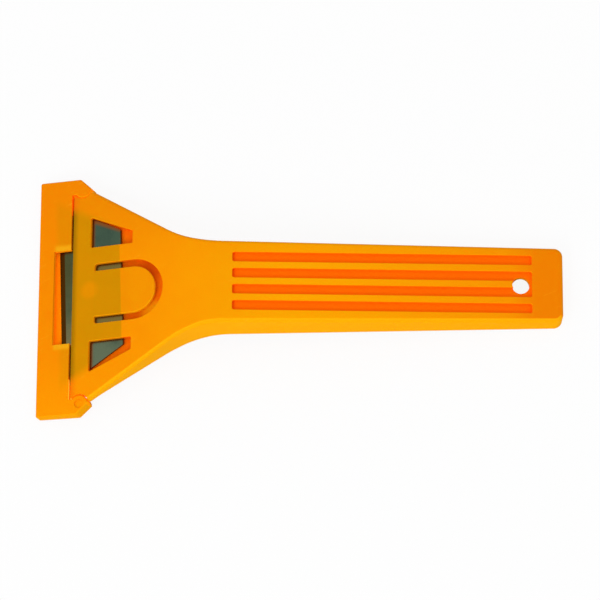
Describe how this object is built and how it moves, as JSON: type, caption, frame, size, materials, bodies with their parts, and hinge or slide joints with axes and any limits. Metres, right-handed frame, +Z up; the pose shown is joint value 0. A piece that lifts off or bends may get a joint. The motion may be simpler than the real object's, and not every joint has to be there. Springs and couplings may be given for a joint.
{
  "type": "algae scraper",
  "caption": "Flat hand scraper with a grooved handle, a flared sloping head holding a thin trapezoid blade, a spring tab in a U slot and a clip-on blade guard.",
  "frame": {"origin": "bottom centre of the box around the scraper as it rests on the guard's nose and the tail", "axes": "+X along the handle towards its tail, +Y across it, +Z up; the blade's edge faces -X"},
  "size_m": [0.1572, 0.0748, 0.0164],
  "materials": {
    "scraper_body": "satin orange moulding",
    "release_tab": "satin orange moulding",
    "blade": "ground steel",
    "blade_guard": "satin orange moulding"
  },
  "bodies": {
    "scraper": {"scraper_body": "scraper_body", "blade": "blade"},
    "tab": {"release_tab": "release_tab"},
    "guard": {"blade_guard": "blade_guard"}
  },
  "joints": [
    {"name": "guard_slide", "type": "slide", "parent": "scraper", "child": "guard", "axis": [-0.9634, 0, -0.268], "range_m": [0, 0.042]},
    {"name": "tab_flex", "type": "hinge", "parent": "scraper", "child": "tab", "pos_m": [-0.06112, 0, 0.00668], "axis": [0, -1, 0], "range_deg": [0, 6], "stiffness_Nm_per_rad": 0.5}
  ]
}
